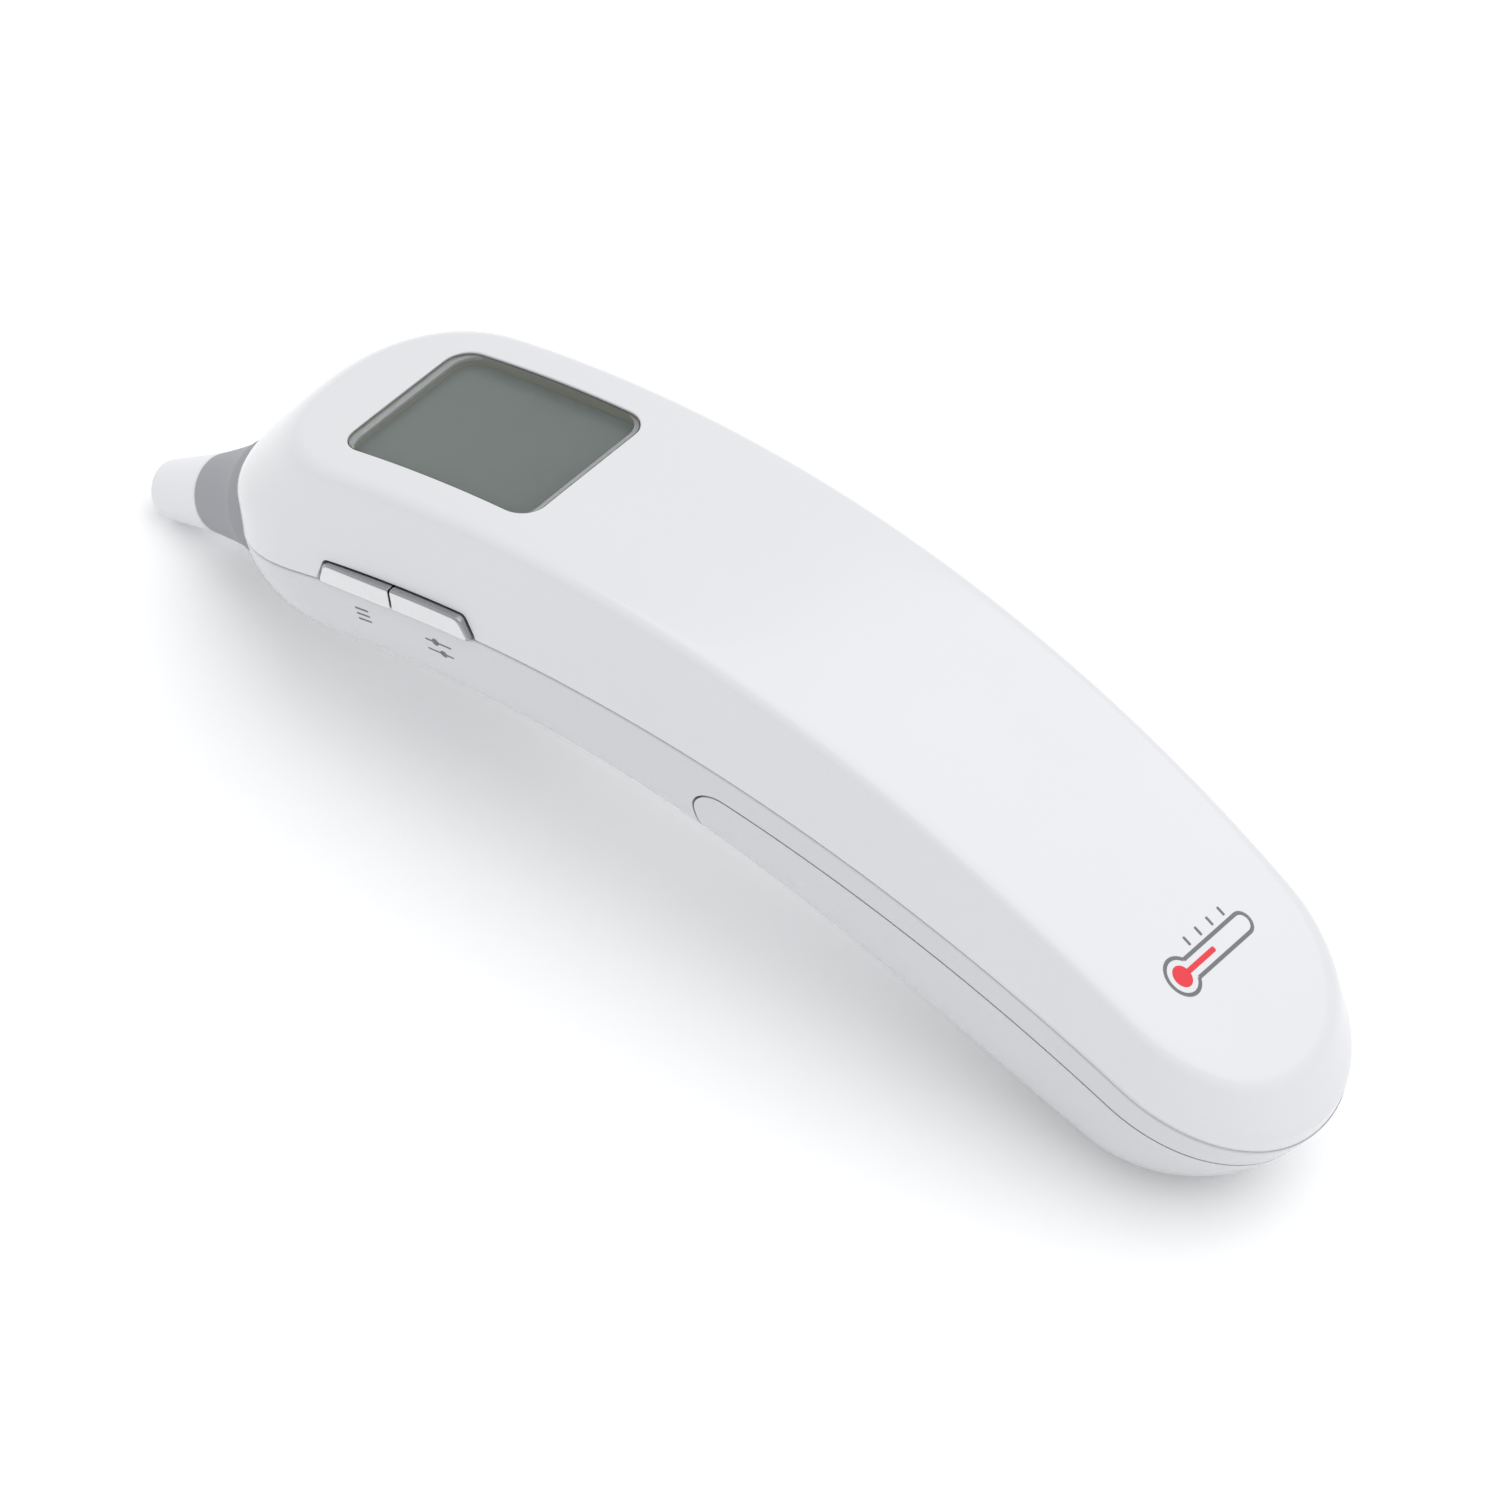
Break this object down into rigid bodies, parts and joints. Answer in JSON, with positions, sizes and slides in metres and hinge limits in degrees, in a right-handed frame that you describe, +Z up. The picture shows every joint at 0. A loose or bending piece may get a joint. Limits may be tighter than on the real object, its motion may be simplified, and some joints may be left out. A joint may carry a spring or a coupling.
{
  "type": "infrared ear thermometer",
  "caption": "Arched handheld ear thermometer with a tapered probe, display window, two side keys, underside trigger and a battery cover that slides off along the arc.",
  "frame": {"origin": "on the table under the middle of the object's length", "axes": "+X from the probe to the tail, -Y towards the side keys, +Z up"},
  "size_m": [0.1505, 0.032, 0.0411],
  "materials": {
    "white_gloss_plastic": "gloss moulded, faint sheen",
    "white_satin_plastic": "satin",
    "grey_plastic": "matt",
    "clear_lens": "clear, polished",
    "lcd_glass": "polarised, satin",
    "key_silver": "bright silver, chromed bevel",
    "light_guide": "frosted",
    "inner_plastic": "moulded",
    "black_rubber": "matt",
    "board_green": "solder mask",
    "black_plastic": "moulded",
    "chip_ceramic": "ceramic",
    "steel": "plated",
    "gold_tube": "gold plated",
    "dark_window": "dark infrared window",
    "flex_orange": "enamelled wire",
    "cell_jacket": "printed sleeve",
    "red_wire": "insulation",
    "black_wire": "insulation"
  },
  "bodies": {
    "root": {"top_shell": "white_gloss_plastic", "bottom_shell": "white_gloss_plastic", "display_lens": "clear_lens", "lcd_panel": "lcd_glass", "lcd_frame": "inner_plastic", "backlight": "light_guide", "zebra_strip": "black_rubber", "main_board": "board_green", "processor": "black_plastic", "board_parts": "chip_ceramic", "buzzer": "black_plastic", "memory_switch": "steel", "set_switch": "steel", "start_switch": "steel", "probe_collar": "grey_plastic", "probe_tip": "white_satin_plastic", "probe_window": "dark_window", "wave_guide": "gold_tube", "sensor_holder": "inner_plastic", "thermopile_sensor": "steel", "probe_seal": "black_rubber", "sensor_lead": "flex_orange", "battery_tray": "inner_plastic", "battery_1": "cell_jacket", "battery_2": "cell_jacket", "positive_contact": "steel", "negative_contact": "steel", "contact_springs": "steel", "bridge_contact": "steel", "positive_lead": "red_wire", "negative_lead": "black_wire", "case_screws": "steel", "board_screws": "steel", "tray_screws": "steel"},
    "memory_key": {"memory_button": "key_silver"},
    "set_key": {"set_button": "key_silver"},
    "trigger": {"start_button": "grey_plastic"},
    "cover": {"battery_cover": "white_gloss_plastic"}
  },
  "joints": [
    {"name": "memory_press", "type": "slide", "parent": "root", "child": "memory_key", "axis": [0, 1, 0], "range_m": [0, 0.0005], "stiffness_N_per_m": 3000},
    {"name": "set_press", "type": "slide", "parent": "root", "child": "set_key", "axis": [0, 1, 0], "range_m": [0, 0.0005], "stiffness_N_per_m": 3000},
    {"name": "trigger_press", "type": "slide", "parent": "root", "child": "trigger", "axis": [-0.1734, 0, 0.9849], "range_m": [0, 0.0008], "stiffness_N_per_m": 2500},
    {"name": "cover_slide", "type": "hinge", "parent": "root", "child": "cover", "pos_m": [0.00363, 0, -0.12327], "axis": [0, 1, 0], "range_deg": [0, 30]}
  ]
}
